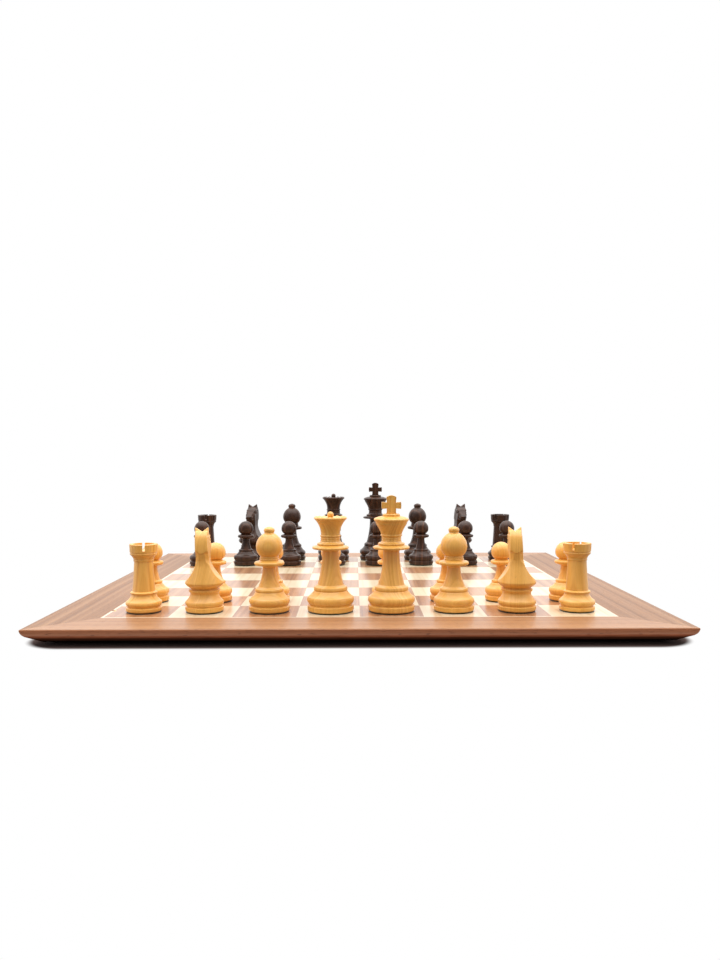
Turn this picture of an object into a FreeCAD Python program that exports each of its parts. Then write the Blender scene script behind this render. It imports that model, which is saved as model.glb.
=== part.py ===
import FreeCAD, Part
import math
import os
import Sketcher
from FreeCAD import Placement, Rotation, Vector

# Tournament chess set on its board, in millimetres. The origin is the middle of the board on the plane
# that its feet stand on, +Z is up, White's side is at -Y and the a-file at -X.

doc = FreeCAD.newDocument("chess_set")

# ---------------------------------------------------------------- driving dimensions
SIZES = {
    "board_side": 495.0,
    "board_thickness": 11.4,
    "square_side": 50.0,
    "squares_per_side": 8,
    "line_width": 2.0,
    "line_gap": 4.5,
    "line_gap_place": -169.0,
    "plug_width": 1.8,
    "plug_length": 5.0,
    "veneer": 0.8,
    "backing": 0.6,
    "tongue_thickness": 4.0,
    "tongue_depth": 6.0,
    "tongue_slack": 0.5,
    "edge_round": 0.8,
    "face_inset": 0.9,
    "face_drop": 3.4,
    "knee_inset": 4.0,
    "knee_drop": 6.4,
    "bevel_inset": 12.8,
    "pad_height": 2.2,
    "pad_radius": 9.0,
    "pad_inset": 32.0,
    "felt": 1.0,
    "felt_inset": 0.8,
    "slug_slack": 0.15,
    "tenon_slack": 0.1,
    "cross_thickness": 5.2,
    "cross_tenon_radius": 2.0,
    "cross_tenon_depth": 8.0,
    "head_width": 10.8,
    "head_tenon_radius": 4.0,
    "head_tenon_depth": 5.0,
    "ear_gap": 10.1,
    "rook_slot_width": 2.0,
    "queen_scallops": 14,
    "scallop_radius": 4.5,
    "scallop_depth": 0.7,
    # each kind of piece: height above the square, radius of its foot, radius and depth of its weight's bore
    "king_tall": 94.0,
    "king_radius": 19.0,
    "king_bore_radius": 11.0,
    "king_bore_depth": 12.0,
    "queen_tall": 80.8,
    "queen_radius": 19.0,
    "queen_bore_radius": 11.0,
    "queen_bore_depth": 12.0,
    "bishop_tall": 68.6,
    "bishop_radius": 16.5,
    "bishop_bore_radius": 9.0,
    "bishop_bore_depth": 11.0,
    "knight_tall": 68.3,
    "knight_radius": 15.5,
    "knight_bore_radius": 8.5,
    "knight_bore_depth": 9.0,
    "rook_tall": 55.0,
    "rook_radius": 14.5,
    "rook_bore_radius": 8.0,
    "rook_bore_depth": 11.0,
    "pawn_tall": 51.0,
    "pawn_radius": 14.1,
    "pawn_bore_radius": 6.5,
    "pawn_bore_depth": 11.0,
}

sheet = doc.addObject("Spreadsheet::Sheet", "sizes")
for row, (alias, value) in enumerate(SIZES.items(), start=1):
    sheet.set(f"A{row}", alias)
    sheet.set(f"B{row}", str(value))
    sheet.setAlias(f"B{row}", alias)
doc.recompute()

SUBPARTS = []


def size(alias):
    """The value that the sheet holds under this alias."""
    return float(sheet.get(alias))


def bind(thing, **expressions):
    """Bind properties of an object to expressions of the sheet's cells."""
    for prop, expression in expressions.items():
        thing.setExpression(prop, expression)
    return thing


def place(thing, x="0", y="0", z="0", turn=0.0):
    """Stand an object at a point given by expressions, turned about +Z by some degrees."""
    thing.Placement = Placement(Vector(0, 0, 0), Rotation(Vector(0, 0, 1), turn))
    for letter, expression in (("x", x), ("y", y), ("z", z)):
        thing.setExpression(f".Placement.Base.{letter}", expression)
    return thing


def subpart(thing, label):
    """Register an object as a sub-part under the name of its file."""
    thing.Label = label
    SUBPARTS.append(thing)
    return thing


# ---------------------------------------------------------------- sketches
def origin_plane(body, role):
    return next(plane for plane in body.Origin.OriginFeatures if plane.Role == role)


def new_sketch(body, name, role, offset=None):
    """A sketch on one of the body's own origin planes, lifted off it by an expression where one is given."""
    sketch = body.newObject("Sketcher::SketchObject", name)
    sketch.AttachmentSupport = (origin_plane(body, role), [""])
    sketch.MapMode = "FlatFace"
    if offset is not None:
        sketch.setExpression(".AttachmentOffset.Base.z", offset)
    return sketch


def number(expression):
    """The present value of an expression of the sheet's cells."""
    return float(sheet.evalExpression(expression))


DOME = math.inf


def dome_bulge(start, end):
    """The rise of the arc from start to a top on the upright axis, with its centre on that axis."""
    climb = end.y - start.y
    radius = (start.x ** 2 + climb ** 2) / (2 * climb)
    return radius - math.sqrt(radius ** 2 - ((end - start).Length / 2) ** 2)


def draw_outline(sketch, points):
    """Draw a closed outline and bind each of its corners to the sheet.

    Each point is (x, y, bulge), where x and y are expressions and bulge is the rise, in millimetres, of the
    arc that arrives there: positive to the right of the way the outline runs, and zero for a straight line.
    A bulge of DOME is an arc that ends on the upright axis and has its centre there.
    """
    spots = [Vector(number(point[0]), number(point[1]), 0) for point in points]
    edges = []
    tips = []
    for index, point in enumerate(points):
        start, end = spots[index - 1], spots[index]
        along = (end - start).normalize()
        bulge = dome_bulge(start, end) if point[2] == DOME else point[2]
        middle = (start + end) / 2 + Vector(along.y, -along.x, 0) * bulge
        # every arc is drawn anticlockwise, so one that bulges to the left runs from its end to its start
        if bulge > 0:
            edges.append(Part.Arc(start, middle, end))
        elif bulge < 0:
            edges.append(Part.Arc(end, middle, start))
        else:
            edges.append(Part.LineSegment(start, end))
        tips.append((2, 1) if bulge < 0 else (1, 2))
    sketch.addGeometry(edges, False)
    constraints = []
    expressions = {}
    for index, (x, y, bulge) in enumerate(points):
        follower = (index + 1) % len(points)
        tip = (index, tips[index][1])
        constraints.append(Sketcher.Constraint("Coincident", *tip, follower, tips[follower][0]))
        pin_point(constraints, expressions, tip, spots[index], (x, y))
        if bulge == DOME:
            constraints.append(Sketcher.Constraint("PointOnObject", index, 3, -2))
        elif bulge:
            constraints.append(Sketcher.Constraint("Radius", index, sketch.Geometry[index].Radius))
    hold(sketch, constraints, expressions)


def pin_point(constraints, expressions, tip, spot, distances):
    """Hold one point of a sketch on the sketch's axes, or at the distances from them that the sheet gives."""
    for axis, kind, value, distance in zip((-2, -1), ("DistanceX", "DistanceY"), (spot.x, spot.y), distances):
        if abs(value) < 1e-9:
            constraints.append(Sketcher.Constraint("PointOnObject", *tip, axis))
        else:
            expressions[len(constraints)] = distance
            constraints.append(Sketcher.Constraint(kind, -1, 1, *tip, value))


def hold(sketch, constraints, expressions):
    """Add the constraints together, then bind the ones that have an expression."""
    sketch.addConstraint(constraints)
    for index, expression in expressions.items():
        sketch.setExpression(f"Constraints[{index}]", expression)


def draw_circle(sketch, x, y, radius):
    """A circle whose centre and radius are bound to expressions."""
    centre = Vector(number(x), number(y), 0)
    sketch.addGeometry(Part.Circle(centre, Vector(0, 0, 1), number(radius)), False)
    constraints = []
    expressions = {}
    pin_point(constraints, expressions, (0, 3), centre, (x, y))
    expressions[len(constraints)] = radius
    constraints.append(Sketcher.Constraint("Radius", 0, number(radius)))
    hold(sketch, constraints, expressions)


def new_body(name):
    return doc.addObject("PartDesign::Body", name)


def pad(body, sketch, length, midplane=False):
    feature = body.newObject("PartDesign::Pad", f"{sketch.Name}_pad")
    feature.Profile = sketch
    feature.Midplane = midplane
    bind(feature, Length=length)
    sketch.Visibility = False
    return feature


def cut_through(body, sketch):
    """Cut a sketch's outline right through the body, both ways from its plane."""
    feature = body.newObject("PartDesign::Pocket", f"{sketch.Name}_cut")
    feature.Profile = sketch
    feature.Type = "ThroughAll"
    feature.Midplane = True
    return must_cut(body, feature)


def must_cut(body, feature):
    """Check that a cutting feature takes material away."""
    doc.recompute()
    if not feature.Shape.Volume < feature.BaseFeature.Shape.Volume - 1e-6:
        raise RuntimeError(f"{feature.Name} cuts nothing")
    return feature


def polar_pattern(body, feature, occurrences, angle):
    """Repeat a feature about the body's Z axis."""
    pattern = body.newObject("PartDesign::PolarPattern", f"{feature.Name}_round")
    pattern.Originals = [feature]
    pattern.Axis = (origin_plane(body, "Z_Axis"), [""])
    pattern.Angle = angle
    pattern.Occurrences = occurrences
    body.Tip = pattern
    doc.recompute()
    return pattern


# ---------------------------------------------------------------- the board
HALF_FIELD = "(sizes.square_side * sizes.squares_per_side / 2)"
HALF_CORE = f"({HALF_FIELD} + sizes.line_width)"
HALF_BOARD = "(sizes.board_side / 2)"
TOP = "(sizes.pad_height + sizes.board_thickness)"
VENEER_BED = f"({TOP} - sizes.veneer)"
TONGUE_LOW = "(sizes.pad_height + sizes.board_thickness / 2 - sizes.tongue_thickness / 2)"
FACE_RISE = 0.1
KNEE_RISE = 0.3


def make_rail(label, turn):
    """One side of the frame: mitred ends, a face that leans in to a rounded knee, a bevel and a groove."""
    body = new_body(label)
    section = new_sketch(body, f"{label}_section", "YZ_Plane")
    outer = f"-{HALF_BOARD}"
    inner = f"-{HALF_CORE}"
    groove = f"-{HALF_CORE} - sizes.tongue_depth - sizes.tongue_slack"
    round_rise = size("edge_round") * (1 - math.sqrt(0.5))
    draw_outline(section, [
        (inner, TOP, 0),
        (f"{outer} + sizes.edge_round", TOP, 0),
        (outer, f"{TOP} - sizes.edge_round", round_rise),
        (f"{outer} + sizes.face_inset", f"{TOP} - sizes.face_drop", FACE_RISE),
        (f"{outer} + sizes.knee_inset", f"{TOP} - sizes.knee_drop", KNEE_RISE),
        (f"{outer} + sizes.bevel_inset", "sizes.pad_height", 0),
        (inner, "sizes.pad_height", 0),
        (inner, TONGUE_LOW, 0),
        (groove, TONGUE_LOW, 0),
        (groove, f"{TONGUE_LOW} + sizes.tongue_thickness", 0),
        (inner, f"{TONGUE_LOW} + sizes.tongue_thickness", 0),
    ])
    pad(body, section, "sizes.board_side", midplane=True)
    for side in (-1, 1):
        mitre = new_sketch(body, f"{label}_mitre_{'left' if side < 0 else 'right'}", "XY_Plane")
        draw_outline(mitre, [
            (f"{side} * {HALF_BOARD}", f"-{HALF_BOARD}", 0),
            (f"{side} * {HALF_BOARD}", f"-{HALF_BOARD} / 2", 0),
            (f"{side} * {HALF_BOARD} / 2", f"-{HALF_BOARD} / 2", 0),
        ])
        cut_through(body, mitre)
    return subpart(place(body, turn=turn), label)


for label, turn in (("rail_front", 0), ("rail_right", 90), ("rail_back", 180), ("rail_left", 270)):
    make_rail(label, turn)


def bound_box(name, length, width, height, x, y, z):
    """A box whose lowest corner and sides are expressions."""
    box = doc.addObject("Part::Box", name)
    bind(box, Length=length, Width=width, Height=height)
    return place(box, x, y, z)


def make_core():
    """The board's ground: a thick panel with a tongue all round that enters the rails."""
    wide = f"(2 * {HALF_CORE})"
    low = "(sizes.pad_height + sizes.backing)"
    panel = bound_box("core_panel", wide, wide, f"{VENEER_BED} - {low}",
                      f"-{HALF_CORE}", f"-{HALF_CORE}", low)
    reach = f"({HALF_CORE} + sizes.tongue_depth)"
    tongue = bound_box("core_tongue", f"2 * {reach}", f"2 * {reach}", "sizes.tongue_thickness",
                       f"-{reach}", f"-{reach}", TONGUE_LOW)
    core = doc.addObject("Part::MultiFuse", "board_core")
    core.Shapes = [panel, tongue]
    subpart(core, "board_core")
    backing = bound_box("underside_veneer", wide, wide, "sizes.backing", f"-{HALF_CORE}", f"-{HALF_CORE}",
                        "sizes.pad_height")
    subpart(backing, "underside_veneer")


def make_squares():
    """The field: one thin veneer for each square, the light ones and the dark ones in a group each."""
    groups = {"dark_squares": [], "light_squares": []}
    count = int(size("squares_per_side"))
    for file_index in range(count):
        for rank_index in range(count):
            name = f"square_{file_index + 1}_{rank_index + 1}"
            square = bound_box(name, "sizes.square_side", "sizes.square_side", "sizes.veneer",
                               f"sizes.square_side * {file_index} - {HALF_FIELD}",
                               f"sizes.square_side * {rank_index} - {HALF_FIELD}", VENEER_BED)
            if (file_index, rank_index) == (0, 0):
                square = let_in_plug(square)
            shade = "light_squares" if (file_index + rank_index) % 2 else "dark_squares"
            groups[shade].append(square)
    for label, squares in groups.items():
        group = doc.addObject("Part::Compound", label)
        group.Links = squares
        subpart(group, label)


def let_in_plug(square):
    """The corner square has a small pale plug let in beside the line, and a pocket that it fills."""
    plug = bound_box("corner_plug", "sizes.plug_width", "sizes.plug_length", "sizes.veneer", f"-{HALF_FIELD}",
                     "sizes.line_gap_place - sizes.line_gap / 2 - sizes.plug_length / 2", VENEER_BED)
    subpart(plug, "corner_plug")
    cut = doc.addObject("Part::Cut", f"{square.Name}_with_pocket")
    cut.Base = square
    cut.Tool = plug
    return cut


def make_line():
    """The narrow pale line round the field: four mitred strips, one of them broken by a short gap."""
    strips = []
    for side, turn in (("front", 0), ("right", 90), ("back", 180), ("left", 270)):
        body = new_body(f"line_{side}")
        plan = new_sketch(body, f"line_{side}_plan", "XY_Plane", offset=VENEER_BED)
        draw_outline(plan, [
            (f"-{HALF_FIELD}", f"-{HALF_FIELD}", 0),
            (f"-{HALF_CORE}", f"-{HALF_CORE}", 0),
            (HALF_CORE, f"-{HALF_CORE}", 0),
            (HALF_FIELD, f"-{HALF_FIELD}", 0),
        ])
        pad(body, plan, "sizes.veneer")
        strips.append(place(body, turn=turn))
    gap = bound_box("line_gap_tool", "2 * sizes.line_width", "sizes.line_gap", "2 * sizes.veneer",
                    f"-{HALF_CORE} - sizes.line_width / 2", "sizes.line_gap_place - sizes.line_gap / 2",
                    f"{VENEER_BED} - sizes.veneer / 2")
    broken = doc.addObject("Part::Cut", "line_left_broken")
    broken.Base = strips.pop()
    broken.Tool = gap
    line = doc.addObject("Part::Compound", "line_inlay")
    line.Links = strips + [broken]
    subpart(line, "line_inlay")


def make_pads():
    """Four round feet under the corners of the frame."""
    pads = []
    reach = f"({HALF_BOARD} - sizes.pad_inset)"
    for index, (side_x, side_y) in enumerate(((-1, -1), (1, -1), (1, 1), (-1, 1)), start=1):
        disc = doc.addObject("Part::Cylinder", f"foot_pad_{index}")
        bind(disc, Radius="sizes.pad_radius", Height="sizes.pad_height")
        pads.append(place(disc, f"{side_x} * {reach}", f"{side_y} * {reach}"))
    group = doc.addObject("Part::Compound", "foot_pads")
    group.Links = pads
    subpart(group, "foot_pads")


make_core()
make_squares()
make_line()
make_pads()

# ---------------------------------------------------------------- turned outlines of the pieces
# Each row is (radius, height above the square, bulge), from the foot up, at the piece's drawn size. A bulge
# is the rise of the arc that arrives there, positive for a bead and negative for a cove; without it the line
# is straight.
ROYAL_BODY = [
    (18.8, 1.8),
    (18.8, 4.4),
    (18.4, 5.2, 0.15),
    (17.3, 5.9),
    (17.3, 6.4),
    (18.2, 12.2, 1.2),
    (13.8, 16.6, -0.35),
    (13.3, 17.1),
    (13.5, 18.9, 0.2),
    (13.0, 20.2, 0.15),
    (10.6, 21.8, -0.1),
    (6.6, 47.6, -0.85),
    (7.1, 49.8, -0.25),
    (13.7, 50.6, -0.1),
    (13.6, 52.8, 1.15),
    (10.3, 54.0, -0.1),
    (10.2, 55.5, 0.6),
    (8.0, 57.0, -0.3),
    (8.0, 58.0),
    (8.0, 58.8, -0.25),
    (8.0, 59.6),
    (8.0, 60.4, -0.25),
]

KING_HEAD = ROYAL_BODY + [
    (8.3, 61.0),
    (8.3, 62.5, 0.5),
    (12.4, 70.6, -0.35),
    (13.8, 73.4, -0.25),
    (13.6, 75.3, 0.45),
    (6.7, 77.2, 0.35),
    (6.4, 79.0, 0.5),
]

QUEEN_HEAD = ROYAL_BODY + [
    (8.0, 60.6),
    (7.8, 62.0, 0.5),
    (7.8, 63.6),
    (13.2, 75.0, -1.2),
    (13.45, 75.5, 0.1),
    (12.2, 76.8, 0.25),
    (11.4, 76.9, 0.1),
    (7.0, 76.3, -0.2),
    (2.0, 76.3),
    (0.0, 80.8, DOME),
]
CORONET_RIM = 76.9
SCALLOPS_FROM = 9.5

BISHOP_OUTLINE = [
    (16.4, 1.8),
    (16.4, 4.0),
    (16.1, 4.6, 0.15),
    (15.1, 5.3),
    (15.1, 5.8),
    (15.5, 11.0, 1.1),
    (11.6, 15.6, -0.35),
    (11.2, 16.2),
    (11.4, 18.1, 0.2),
    (10.9, 18.9, 0.1),
    (9.0, 20.4, -0.1),
    (5.4, 35.0, -0.7),
    (5.7, 36.4, -0.2),
    (11.0, 37.6, -0.15),
    (10.7, 40.6, 1.25),
    (7.7, 41.8, -0.15),
    (7.5, 43.0, 0.4),
    (7.4, 43.2),
    (7.3, 44.5, 0.4),
    (7.2, 44.9),
    (10.8, 52.6, 0.95),
    (4.2, 63.2, 1.75),
    (4.0, 64.4, -0.15),
    (2.5, 67.9, 1.05),
    (0.0, 68.6, DOME),
]

KNIGHT_BASE = [
    (15.4, 1.8),
    (15.4, 4.1),
    (15.1, 4.6, 0.1),
    (14.3, 5.1),
    (14.3, 5.5),
    (15.1, 6.3, 0.15),
    (15.0, 9.0, 0.35),
    (11.4, 14.2, -0.4),
    (11.4, 15.2),
    (12.3, 16.6, -0.15),
    (12.6, 17.6, 0.15),
    (12.4, 18.4, 0.15),
    (10.9, 18.7),
    (10.9, 19.3),
]

ROOK_OUTLINE = [
    (14.3, 1.8),
    (14.3, 3.3),
    (14.0, 3.9, 0.15),
    (13.0, 4.5),
    (13.0, 5.0),
    (13.8, 9.0, 1.0),
    (10.0, 13.6, -0.5),
    (9.8, 14.6),
    (10.3, 15.1, 0.1),
    (10.3, 16.5, 0.45),
    (9.0, 17.0, -0.1),
    (7.5, 40.9, -0.1),
    (7.9, 41.3, 0.1),
    (7.9, 42.6, 0.15),
    (10.2, 46.2, -0.35),
    (10.7, 47.0, 0.15),
    (10.5, 47.9, 0.2),
    (10.4, 48.2),
    (10.9, 48.6),
    (11.2, 54.6),
    (10.9, 55.0, 0.1),
    (8.4, 55.0),
    (8.1, 49.9),
    (0.0, 49.9),
]

PAWN_OUTLINE = [
    (14.0, 1.8),
    (14.0, 4.2),
    (13.7, 4.9, 0.15),
    (12.8, 5.5),
    (12.8, 6.0),
    (13.0, 11.5, 1.15),
    (8.8, 15.2, -0.5),
    (8.1, 15.9),
    (8.2, 17.6, 0.15),
    (7.9, 18.2, 0.1),
    (6.4, 18.9, -0.1),
    (4.0, 30.2, -0.5),
    (4.4, 30.8, -0.1),
    (7.9, 31.9, -0.15),
    (7.9, 35.3, 1.35),
    (5.3, 36.5, -0.2),
    (8.6, 42.0, 1.0),
    (0.0, 51.0, DOME),
]

FOOT_EDGE = 0.8
# how far a cutting outline reaches past the solid it cuts, and how far a tenon runs on into its own solid
CLEARANCE = 2.0
ROOTED = 1.0
DRAWN = {kind: (size(f"{kind}_tall"), size(f"{kind}_radius"))
         for kind in ("king", "queen", "bishop", "knight", "rook", "pawn")}


def turned(kind, outline, top_hole=None):
    """A turned piece of wood with a bore in its foot for the weight, and a socket in its top if one is given.

    The outline is scaled to the kind's height and foot radius in the sheet. A top_hole is (radius, depth).
    """
    drawn_tall, drawn_radius = DRAWN[kind]

    def spot(radius, height, bulge=0.0):
        return (f"sizes.{kind}_radius * {radius} / {drawn_radius}",
                f"sizes.{kind}_tall * {height} / {drawn_tall}", bulge)

    bore_top = f"(sizes.felt + sizes.{kind}_bore_depth)"
    points = [
        ("0", bore_top, 0),
        (f"sizes.{kind}_bore_radius", bore_top, 0),
        (f"sizes.{kind}_bore_radius", "sizes.felt", 0),
        (f"sizes.{kind}_radius - {FOOT_EDGE}", "sizes.felt", 0),
    ]
    points += [spot(*row) for row in outline]
    if top_hole:
        hole_radius, hole_depth = top_hole
        rim = points[-1][1]
        floor = f"{rim} - {hole_depth}"
        points += [(hole_radius, rim, 0), (hole_radius, floor, 0), ("0", floor, 0)]
    body = new_body(f"{kind}_wood")
    sketch = new_sketch(body, f"{kind}_outline", "XZ_Plane")
    draw_outline(sketch, points)
    revolution = body.newObject("PartDesign::Revolution", f"{kind}_turning")
    revolution.Profile = sketch
    revolution.ReferenceAxis = (sketch, ["V_Axis"])
    revolution.Angle = 360
    sketch.Visibility = False
    doc.recompute()
    return body


def weight_and_felt(kind):
    """The steel slug in the foot's bore, and the felt disc under the foot."""
    slug = doc.addObject("Part::Cylinder", f"{kind}_slug")
    bind(slug, Radius=f"sizes.{kind}_bore_radius - sizes.slug_slack",
         Height=f"sizes.{kind}_bore_depth - sizes.slug_slack")
    place(slug, z="sizes.felt")
    felt = doc.addObject("Part::Cylinder", f"{kind}_felt")
    bind(felt, Radius=f"sizes.{kind}_radius - sizes.felt_inset", Height="sizes.felt")
    return [slug, felt]


def cut_rook_slots(body):
    """Four upright slots across the wall of the tower."""
    sketch = new_sketch(body, "rook_slot", "XZ_Plane")
    floor_height = f"sizes.rook_tall * {ROOK_OUTLINE[-1][1]} / {DRAWN['rook'][0]}"
    half = "sizes.rook_slot_width / 2"
    clear = f"sizes.rook_tall + {CLEARANCE}"
    draw_outline(sketch, [(half, floor_height, 0), (half, clear, 0), (f"-{half}", clear, 0),
                          (f"-{half}", floor_height, 0)])
    polar_pattern(body, cut_through(body, sketch), 2, 90)


def cut_queen_scallops(body):
    """Shallow scallops all round the rim of the coronet."""
    tall, foot = DRAWN["queen"]
    start = f"sizes.queen_radius * {SCALLOPS_FROM} / {foot}"
    sketch = new_sketch(body, "queen_scallop", "YZ_Plane", offset=start)
    rim = f"sizes.queen_tall * {CORONET_RIM} / {tall}"
    draw_circle(sketch, "0", f"{rim} + sizes.scallop_radius - sizes.scallop_depth", "sizes.scallop_radius")
    feature = body.newObject("PartDesign::Pocket", "queen_scallop_cut")
    feature.Profile = sketch
    feature.Type = "ThroughAll"
    feature.Reversed = True
    must_cut(body, feature)
    polar_pattern(body, feature, int(size("queen_scallops")), 360)


def make_cross():
    """The king's finial: a flat cross with a round tenon under it."""
    body = new_body("king_cross")
    sketch = new_sketch(body, "cross_outline", "XZ_Plane")
    tall, foot = DRAWN["king"]
    right = [(4.4, 79.0, 0), (3.7, 81.2, -0.3), (3.7, 83.3, 0), (7.7, 83.0, 0), (7.7, 88.5, 0.25),
             (3.6, 88.1, 0), (4.0, 92.4, 0)]
    left = [(-4.0, 92.4, 1.5), (-3.6, 88.1, 0), (-7.7, 88.5, 0), (-7.7, 83.0, 0.25), (-3.7, 83.3, 0),
            (-3.7, 81.2, 0), (-4.4, 79.0, -0.3)]
    draw_outline(sketch, [(f"sizes.king_radius * {x} / {foot}", f"sizes.king_tall * {z} / {tall}", bulge)
                          for x, z, bulge in right + left])
    pad(body, sketch, "sizes.cross_thickness", midplane=True)
    tenon_low = f"sizes.king_tall * 79 / {tall} - sizes.cross_tenon_depth + sizes.tenon_slack"
    tenon = new_sketch(body, "cross_tenon", "XY_Plane", offset=tenon_low)
    draw_circle(tenon, "0", "0", "sizes.cross_tenon_radius - sizes.tenon_slack")
    pad(body, tenon, f"sizes.cross_tenon_depth + {ROOTED}")
    return body


# The carved head's sides are hollowed between these heights, by an arc with this rise; the bell is turned
# out of a block this much wider than it.
HOLLOW_HEIGHTS = (24.0, 44.0)
HOLLOW_RISE = 1.9
BELL_WASTE = 8.5


def make_knight_head():
    """The carved head: a side outline, sides hollowed down to the bell, the bell turned, the ears parted."""
    body = new_body("knight_head")
    tall, foot = DRAWN["knight"]

    def spots(rows):
        return [(f"sizes.knight_radius * {a} / {foot}", f"sizes.knight_tall * {b} / {tall}", bulge)
                for a, b, bulge in rows]

    side = new_sketch(body, "head_side", "YZ_Plane")
    draw_outline(side, spots([
        (-15.5, 19.3, 0), (15.5, 19.3, 0), (15.5, 25.6, 0), (9.4, 33.5, -0.6), (5.2, 43.4, -0.5),
        (7.4, 46.4, -0.4), (12.6, 47.4, 0), (15.6, 50.6, 1.1), (13.6, 54.0, 0.3), (4.6, 63.4, -0.6),
        (1.8, 65.0, 0), (-0.8, 68.3, -0.3), (-4.0, 66.2, 0.2), (-11.6, 47.8, 3.0), (-10.0, 46.4, 0.3),
        (-10.2, 39.0, -0.1), (-15.5, 25.6, 0),
    ]))
    pad(body, side, "2 * sizes.knight_radius", midplane=True)
    clear = f"sizes.knight_tall + {CLEARANCE}"
    hollow_low, hollow_high = (f"sizes.knight_tall * {z} / {tall}" for z in HOLLOW_HEIGHTS)
    for label, sign in (("left", -1), ("right", 1)):
        waste = new_sketch(body, f"head_waste_{label}", "XZ_Plane")
        half = f"{sign} * sizes.head_width / 2"
        edge = f"{sign} * (sizes.knight_radius + {CLEARANCE})"
        draw_outline(waste, [
            (half, hollow_high, 0),
            (f"{sign} * sizes.knight_radius", hollow_low, sign * HOLLOW_RISE),
            (edge, hollow_low, 0),
            (edge, clear, 0),
            (half, clear, 0),
        ])
        cut_through(body, waste)
    bell = new_sketch(body, "head_bell", "XZ_Plane")
    outside = foot + BELL_WASTE
    draw_outline(bell, spots([
        (10.9, 19.3, 0),
        (15.5, 23.8, 0.9),
        (15.5, 30.0, 0),
        (outside, 30.0, 0),
        (outside, 18.0, 0),
        (10.9, 18.0, 0),
    ]))
    groove = body.newObject("PartDesign::Groove", "head_bell_cut")
    groove.Profile = bell
    groove.ReferenceAxis = (bell, ["V_Axis"])
    groove.Angle = 360
    must_cut(body, groove)
    ears = new_sketch(body, "head_ears", "XZ_Plane")
    tip = "sizes.ear_gap / 2"
    notch = f"sizes.knight_tall * 64.6 / {tall}"
    draw_outline(ears, [
        ("0", notch, 0),
        (tip, "sizes.knight_tall", 0),
        (tip, clear, 0),
        (f"-{tip}", clear, 0),
        (f"-{tip}", "sizes.knight_tall", 0),
    ])
    cut_through(body, ears)
    shoulder = f"sizes.knight_tall * 19.3 / {tall}"
    tenon = new_sketch(body, "head_tenon", "XY_Plane",
                       offset=f"{shoulder} - sizes.head_tenon_depth + sizes.tenon_slack")
    draw_circle(tenon, "0", "0", "sizes.head_tenon_radius - sizes.tenon_slack")
    pad(body, tenon, f"sizes.head_tenon_depth + {ROOTED}")
    doc.recompute()
    return body


CROSS_SOCKET = ("sizes.cross_tenon_radius", "sizes.cross_tenon_depth")
HEAD_SOCKET = ("sizes.head_tenon_radius", "sizes.head_tenon_depth")
WOOD = {
    "king": turned("king", KING_HEAD, CROSS_SOCKET),
    "queen": turned("queen", QUEEN_HEAD),
    "bishop": turned("bishop", BISHOP_OUTLINE),
    "knight": turned("knight", KNIGHT_BASE, HEAD_SOCKET),
    "rook": turned("rook", ROOK_OUTLINE),
    "pawn": turned("pawn", PAWN_OUTLINE),
}
cut_rook_slots(WOOD["rook"])
cut_queen_scallops(WOOD["queen"])
MASTERS = {kind: [wood] + weight_and_felt(kind) for kind, wood in WOOD.items()}
CROSS = make_cross()
HEAD = make_knight_head()

# ---------------------------------------------------------------- the pieces on their squares
# For each side: rank of the officers, rank of the pawns, and the turn that makes a piece face the other side.
# A nudge is how far a piece stands from the middle of its square along the rank, from the a-file to the
# h-file, and a twist is its own turn.
FILES = "abcdefgh"
OFFICERS = ("rook", "knight", "bishop", "queen", "king", "bishop", "knight", "rook")
SIDES = {"white": (0, 1, 0.0), "black": (7, 6, 180.0)}
OFFICER_NUDGE = {
    "white": (0.35, -0.6, 1.9, 1.4, 0.7, 1.3, 2.5, 1.4),
    "black": (-8.8, -4.8, -5.4, -4.6, -3.5, -2.0, -0.8, -1.0),
}
PAWN_NUDGE = {
    "white": (-4.35, 0.35, 0.4, 0.3, 0.0, 0.4, -1.5, 4.4),
    "black": (-6.5, -5.3, -5.3, -3.5, -2.5, -1.6, 0.0, -1.5),
}
TWIST = {
    ("white", "a"): 14.0, ("white", "b"): 3.0, ("white", "g"): -6.0, ("white", "h"): -31.0,
    ("black", "b"): -10.0, ("black", "g"): 8.0, ("black", "h"): -39.0,
}


def stand(label, masters, file_index, rank_index, nudge, turn=0.0):
    """One copy of a piece's solids, standing on its square."""
    group = doc.addObject("Part::Compound", label)
    group.Links = masters
    place(group, f"sizes.square_side * {file_index + 0.5} - {HALF_FIELD} + {nudge}",
          f"sizes.square_side * {rank_index + 0.5} - {HALF_FIELD}", TOP, turn)
    return subpart(group, label)


def stand_officer(side, file_index):
    """A side's king, queen, bishop, knight or rook on its first square."""
    kind, letter = OFFICERS[file_index], FILES[file_index]
    rank_index, _, facing = SIDES[side]
    spot = (file_index, rank_index, OFFICER_NUDGE[side][file_index], facing + TWIST.get((side, letter), 0.0))
    if kind == "king":
        stand(f"{side}_king_body", MASTERS["king"], *spot)
        stand(f"{side}_king_cross", [CROSS], *spot)
    elif kind == "knight":
        stand(f"{side}_knight_{letter}_base", MASTERS["knight"], *spot)
        stand(f"{side}_knight_{letter}_head", [HEAD], *spot)
    elif kind == "queen":
        stand(f"{side}_queen", MASTERS["queen"], *spot)
    else:
        stand(f"{side}_{kind}_{letter}", MASTERS[kind], *spot)


for side, (_, pawn_rank, _) in SIDES.items():
    for file_index, letter in enumerate(FILES):
        stand_officer(side, file_index)
        stand(f"{side}_pawn_{letter}", MASTERS["pawn"], file_index, pawn_rank, PAWN_NUDGE[side][file_index])

doc.recompute()

# ---------------------------------------------------------------- checks and files
for thing in doc.Objects:
    if {"Invalid", "Error"} & set(thing.State):
        raise RuntimeError(f"{thing.Name} failed: {thing.State}")
for thing in SUBPARTS:
    if thing.Shape.isNull() or not thing.Shape.isValid():
        raise RuntimeError(f"{thing.Label} has no valid shape")

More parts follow.
